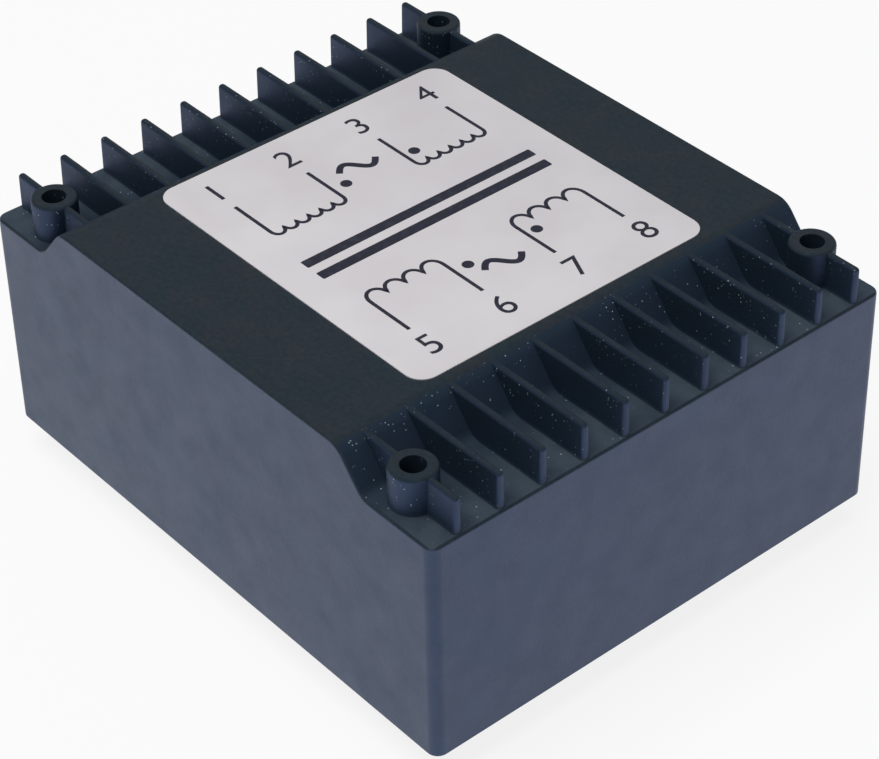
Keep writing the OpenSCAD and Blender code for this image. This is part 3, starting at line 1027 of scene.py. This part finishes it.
@dataclass
class Label:
    """Printed film on the roof: pin numbers along both ends and a winding diagram between.

    Places on the label are given across, which is along +Y, and up, which is towards the
    primary end (-X). A mark of one end lies up there or as far down, as its sign says.
    """

    thickness: float = 0.12
    corner: float = 2.0
    edge: float = 0.04
    ink: float = 0.02
    number_height: float = 3.1
    type_per_height: float = 1.38
    number_up: float = 16.4
    pin_across: Pair = (4.6, 13.6)
    line: float = 0.42
    coil_up: float = 7.6
    primary_turns: int = 6
    secondary_turns: int = 4
    loop_reach: float = 1.25
    loop_steps: int = 12
    dot: float = 0.62
    dot_sides: int = 24
    dot_across: float = 1.5
    dot_shift: float = 0.2
    dot_up: float = 9.2
    wave_size: Pair = (4.6, 0.95)
    wave_up: float = 11.0
    wave_line: float = 0.714
    wave_steps: int = 20
    bar_up: Pair = (1.1, -1.3)
    bar_width: float = 1.25
    bar_across: float = 14.6
    bar_corner: float = 0.15
    weld: float = 0.0005
    film: LabelFilm = LabelFilm()
    print_ink: ThermalPrint = ThermalPrint()
    low: Vector = field(init=False)
    high: Vector = field(init=False)

    def __post_init__(self) -> None:
        """Reads the label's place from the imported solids."""
        self.low, self.high = (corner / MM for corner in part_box("label"))
        self.middle = (self.low + self.high) / 2
        self.top = self.low.z + self.thickness

    def spot(self, across: float, up: float) -> Point:
        """Gives the place on the label's face, in metres, of a point of the layout."""
        return (self.middle.x - up) * MM, (self.middle.y + across) * MM, self.top * MM

    def build(self) -> None:
        """Models the film and its print."""
        self.build_film()
        self.build_print()

    def build_film(self) -> None:
        """Models the die-cut film with its rounded corners and softened edge."""
        film = start_block("label_film", self.low, (self.high.x, self.high.y, self.top))
        edit(film, "EDGE")
        select_edges(film, lambda a, b, normals: abs(a.z - b.z) > self.thickness / 2)
        round_off(self.corner, segments=10)
        select_edges(film, lambda a, b, normals: min(a.z, b.z) > self.top - self.edge / 4)
        round_off(self.edge, segments=2)
        leave()
        place_piece(film, self.film.build())
        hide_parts("label")

    def build_print(self) -> None:
        """Prints the numbers, the two windings at each end, and the core between them."""
        marks: List[bpy.types.Object] = []
        inner, outer = self.pin_across
        for end, first, turns in ((End.PRIMARY, 1, self.primary_turns),
                                  (End.SECONDARY, 5, self.secondary_turns)):
            sign = -end.value
            for step, across in enumerate((-outer, -inner, inner, outer)):
                marks.append(self.number(str(first + step), across, sign * self.number_up))
            for left, right, dot in ((-outer, -inner, self.dot_across + self.dot_shift - inner),
                                     (inner, outer, self.dot_across - self.dot_shift + inner)):
                marks.append(self.winding(left, right, sign, turns))
                marks.append(self.start_dot(dot, sign * self.dot_up))
            marks.append(self.wave(sign))
        marks += [self.bar(up) for up in self.bar_up]
        ink = join_pieces("label_print", marks)
        place_piece(ink, self.print_ink.build())

    def flatten(self, mark: bpy.types.Object, height: float) -> None:
        """Presses a mark flat on the film.

        Args:
            mark: The mark, as a mesh at its place.
            height: Its present thickness in millimetres.
        """
        settle(mark)
        edit(mark, "VERT")
        bpy.ops.mesh.select_all(action="SELECT")
        bpy.ops.mesh.remove_doubles(threshold=self.weld * MM)
        bpy.ops.transform.resize(value=(1, 1, self.ink / height),
                                 center_override=(0, 0, self.top * MM))
        bpy.ops.mesh.normals_make_consistent(inside=False)
        leave()

    def number(self, text: str, across: float, up: float) -> bpy.types.Object:
        """Prints a plain number.

        Args:
            text: The number.
            across: Its middle across the label.
            up: Its middle up the label.

        Returns:
            The number as a mesh.
        """
        pick()
        bpy.ops.object.text_add(location=self.spot(across, up), rotation=(0, 0, math.pi / 2))
        letters = bpy.context.object.data
        letters.body = text
        letters.size = self.number_height * self.type_per_height * MM
        letters.align_x = letters.align_y = "CENTER"
        letters.extrude = self.ink * MM
        letters.resolution_u = 6
        bpy.ops.object.convert(target="MESH")
        mark = bpy.context.object
        self.flatten(mark, 2 * self.ink)
        return mark

    def line_mark(self, points: Sequence[Pair], width: float) -> bpy.types.Object:
        """Prints a line through points of the layout.

        Args:
            points: Across and up of each point.
            width: Width of the line.

        Returns:
            The line as a mesh.
        """
        pick()
        bpy.ops.curve.primitive_nurbs_path_add(location=(0, 0, 0))
        curve = bpy.context.object.data
        curve.splines.clear()
        spline = curve.splines.new("POLY")
        spline.points.add(len(points) - 1)
        for point, (across, up) in zip(spline.points, points):
            point.co = (*self.spot(across, up), 1)
        curve.bevel_depth = width / 2 * MM
        curve.bevel_resolution = 1
        curve.use_fill_caps = True
        bpy.ops.object.convert(target="MESH")
        mark = bpy.context.object
        self.flatten(mark, width)
        return mark

    def winding(self, left: float, right: float, sign: int, turns: int) -> bpy.types.Object:
        """Prints one winding: a lead from each of its numbers, and loops towards the core.

        Args:
            left: The lower of its two leads' places across the label.
            right: The higher one.
            sign: 1 for the primary end and -1 for the secondary end.
            turns: How many loops it has.

        Returns:
            The winding as a mesh.
        """
        radius = (right - left) / turns / 2
        lead_end = sign * (self.number_up - self.number_height)
        points = [(left, lead_end), (left, sign * self.coil_up)]
        for turn in range(turns):
            middle = left + radius * (2 * turn + 1)
            for step in range(1, self.loop_steps + 1):
                angle = math.pi * step / self.loop_steps
                reach = self.loop_reach * radius * math.sin(angle)
                points.append((middle - radius * math.cos(angle), sign * (self.coil_up - reach)))
        points.append((right, lead_end))
        return self.line_mark(points, self.line)

    def start_dot(self, across: float, up: float) -> bpy.types.Object:
        """Prints the round dot that marks a winding's start.

        Args:
            across: Its middle across the label.
            up: Its middle up the label.

        Returns:
            The dot as a mesh.
        """
        x, y, _ = self.spot(across, up)
        mark = start_round(self.dot, self.top - self.dot / 2, self.top + self.dot / 2,
                           (x / MM, y / MM), self.dot_sides)
        self.flatten(mark, self.dot)
        return mark

    def wave(self, sign: int) -> bpy.types.Object:
        """Prints the sign for alternating current between the two windings of one end.

        Args:
            sign: 1 for the primary end and -1 for the secondary end.

        Returns:
            The sign as a mesh.
        """
        length, height = self.wave_size
        shares = [step / self.wave_steps for step in range(self.wave_steps + 1)]
        points = [(length * (share - 0.5),
                   sign * self.wave_up + height * math.sin(2 * math.pi * share)) for share in shares]
        return self.line_mark(points, self.wave_line)

    def bar(self, up: float) -> bpy.types.Object:
        """Prints one of the two bars that stand for the core.

        Args:
            up: Its middle up the label.

        Returns:
            The bar as a mesh.
        """
        size = Vector((self.bar_width / 2, self.bar_across, self.ink / 2))
        centre = Vector((self.middle.x - up, self.middle.y, self.top))
        bar = start_block("bar", centre - size, centre + size)
        edit(bar, "EDGE")
        select_edges(bar, lambda a, b, normals: abs(a.z - b.z) > self.ink / 2)
        round_off(self.bar_corner, segments=3)
        leave()
        return bar


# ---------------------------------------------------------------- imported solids


@dataclass
class PottedInside:
    """The parts that stay as packed: resin, pins, and what the resin hides."""

    resin: CastResin = CastResin()
    core: PlainFinish = CORE_SHEET
    formers: PlainFinish = FORMER_PLASTIC
    coils: PlainFinish = COPPER_WIRE
    tapes: PlainFinish = WINDING_TAPE
    pins: PlainFinish = TIN_PLATE

    def dress(self) -> None:
        """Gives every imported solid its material."""
        self.dress_nodes(("potting_resin",), self.resin)
        self.dress_nodes(("core_",), self.core)
        self.dress_nodes(("coil_former",), self.formers)
        self.dress_nodes(("primary_winding", "secondary_winding"), self.coils)
        self.dress_nodes(("primary_tape", "secondary_tape"), self.tapes)
        self.dress_nodes(("pin_",), self.pins)

    @staticmethod
    def dress_nodes(starts: Tuple[str, ...], finish: Union[CastResin, PlainFinish]) -> None:
        """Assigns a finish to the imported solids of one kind.

        Args:
            starts: How the nodes' names begin.
            finish: Their finish.
        """
        material = finish.build()
        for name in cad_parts:
            if name.startswith(starts):
                for slot in bpy.data.objects[name].material_slots:
                    slot.material = material
                LOG.info("%s: %s", name, material.name)


# ---------------------------------------------------------------- studio


@dataclass(frozen=True)
class SoftBox:
    """A square lamp that faces the part, with its side and place in metres and power in watts."""

    name: str
    side: float
    power: float
    place: Point
    mirrored: bool = True

    def hang(self) -> None:
        """Hangs the lamp."""
        data = bpy.data.lights.new(self.name, "AREA")
        data.shape = "SQUARE"
        data.size = self.side
        data.energy = self.power
        lamp = bpy.data.objects.new(self.name, data)
        bpy.context.collection.objects.link(lamp)
        place = Vector(self.place)
        turned = place.to_track_quat("Z", "Y").to_matrix().to_4x4()
        lamp.matrix_world = Matrix.Translation(place) @ turned
        lamp.visible_glossy = self.mirrored


@dataclass
class Studio:
    """Pale floor, soft boxes, and a camera on a long lens.

    The camera's place is in millimetres and its turns are in degrees. What it sees starts at
    the nearest distance, which is in metres, as the floor's radius is. The key gives no mirror
    image, and the weaker glint at the same place gives the faint highlights.
    """

    azimuth: float = 50.29
    elevation: float = 38.17
    roll: float = -1.27
    camera_at: Point = (169.11, -139.34, 181.53)
    lens: float = 112.06
    sensor: float = 36.0
    nearest: float = 0.01
    floor_tone: str = "F2F2F2"
    floor_glow: float = 0.85
    floor_radius: float = 0.7
    floor_gap: float = 0.02
    room: float = 0.15
    lamps: Tuple[SoftBox, ...] = (SoftBox("key", 0.9, 10.6, (-0.05, -0.3, 1.15), mirrored=False),
                                  SoftBox("glint", 0.9, 2.4, (-0.05, -0.3, 1.15)),
                                  SoftBox("back", 1.5, 0.4, (-0.9, 0.75, 0.93)))

    def build(self) -> None:
        """Sets up the whole studio."""
        self.place_camera()
        self.lay_floor()
        for lamp in self.lamps:
            lamp.hang()
        self.surround()
        bpy.context.scene.view_settings.view_transform = "Standard"
        LOG.info("studio ready")

    def place_camera(self) -> None:
        """Places the camera and turns it towards the part."""
        az, el, roll = (math.radians(turn) for turn in (self.azimuth, self.elevation, self.roll))
        back = Vector((math.sin(az) * math.cos(el), -math.cos(az) * math.cos(el), math.sin(el)))
        level = Vector((math.cos(az), math.sin(az), 0))
        upright = back.cross(level)
        right = level * math.cos(roll) + upright * math.sin(roll)
        up = upright * math.cos(roll) - level * math.sin(roll)
        data = bpy.data.cameras.new("camera")
        data.lens = self.lens
        data.sensor_width = self.sensor
        data.clip_start = self.nearest
        camera = bpy.data.objects.new("camera", data)
        bpy.context.collection.objects.link(camera)
        turned = Matrix((right, up, back)).transposed().to_4x4()
        camera.matrix_world = Matrix.Translation(Vector(self.camera_at) * MM) @ turned
        bpy.context.scene.camera = camera

    def lay_floor(self) -> None:
        """Lays a pale floor that looks white and keeps the part's shadow."""
        pick()
        bpy.ops.mesh.primitive_circle_add(
            vertices=96, radius=self.floor_radius, fill_type="NGON",
            location=(0, 0, CAD_BOUNDS[0][2] - self.floor_gap * MM))
        floor = bpy.context.object
        floor.name = floor.data.name = "floor"
        material = bpy.data.materials.new("white_paper_sweep")
        material.use_nodes = True
        tree = material.node_tree
        tree.nodes.clear()
        matt = add_node(tree, "ShaderNodeBsdfDiffuse", {"Color": linear(self.floor_tone)})
        glow = add_node(tree, "ShaderNodeEmission", {"Color": linear("FFFFFF"), "Strength": 1.0})
        both = add_node(tree, "ShaderNodeMixShader", (self.share_of_glow(tree), matt, glow))
        add_node(tree, "ShaderNodeOutputMaterial", (both,))
        floor.data.materials.append(material)

    def share_of_glow(self, tree: bpy.types.NodeTree) -> bpy.types.Node:
        """Gives the share of the floor's own glow, which lights nothing but is seen and mirrored.

        Args:
            tree: The floor's node tree.

        Returns:
            The share of the glow.
        """
        path = add_node(tree, "ShaderNodeLightPath")
        mirrored = add_node(tree, "ShaderNodeMath", (
            path.outputs["Is Glossy Ray"], path.outputs["Is Transmission Ray"]), operation="MAXIMUM")
        seen = add_node(tree, "ShaderNodeMath", (mirrored, path.outputs["Is Camera Ray"]),
                        operation="MAXIMUM")
        return add_node(tree, "ShaderNodeMath", (seen, self.floor_glow), operation="MULTIPLY")

    def surround(self) -> None:
        """Surrounds the part with a dim, even room that looks white to the camera."""
        world = bpy.data.worlds.new("studio_room")
        world.use_nodes = True
        bpy.context.scene.world = world
        tree = world.node_tree
        tree.nodes.clear()
        path = add_node(tree, "ShaderNodeLightPath")
        strength = add_node(tree, "ShaderNodeMix", {
            0: path.outputs["Is Camera Ray"], 2: self.room, 3: 1.0}, data_type="FLOAT")
        sky = add_node(tree, "ShaderNodeBackground", {"Color": linear("FFFFFF"), "Strength": strength})
        add_node(tree, "ShaderNodeOutputWorld", (sky,))


# ---------------------------------------------------------------- the whole part


def main() -> None:
    """Builds the studio, then the part piece by piece."""
    logging.basicConfig(level=logging.INFO, format="%(message)s")
    Studio().build()
    PottedInside().dress()
    Housing().build()
    Label().build()


if __name__ == "__main__":
    main()
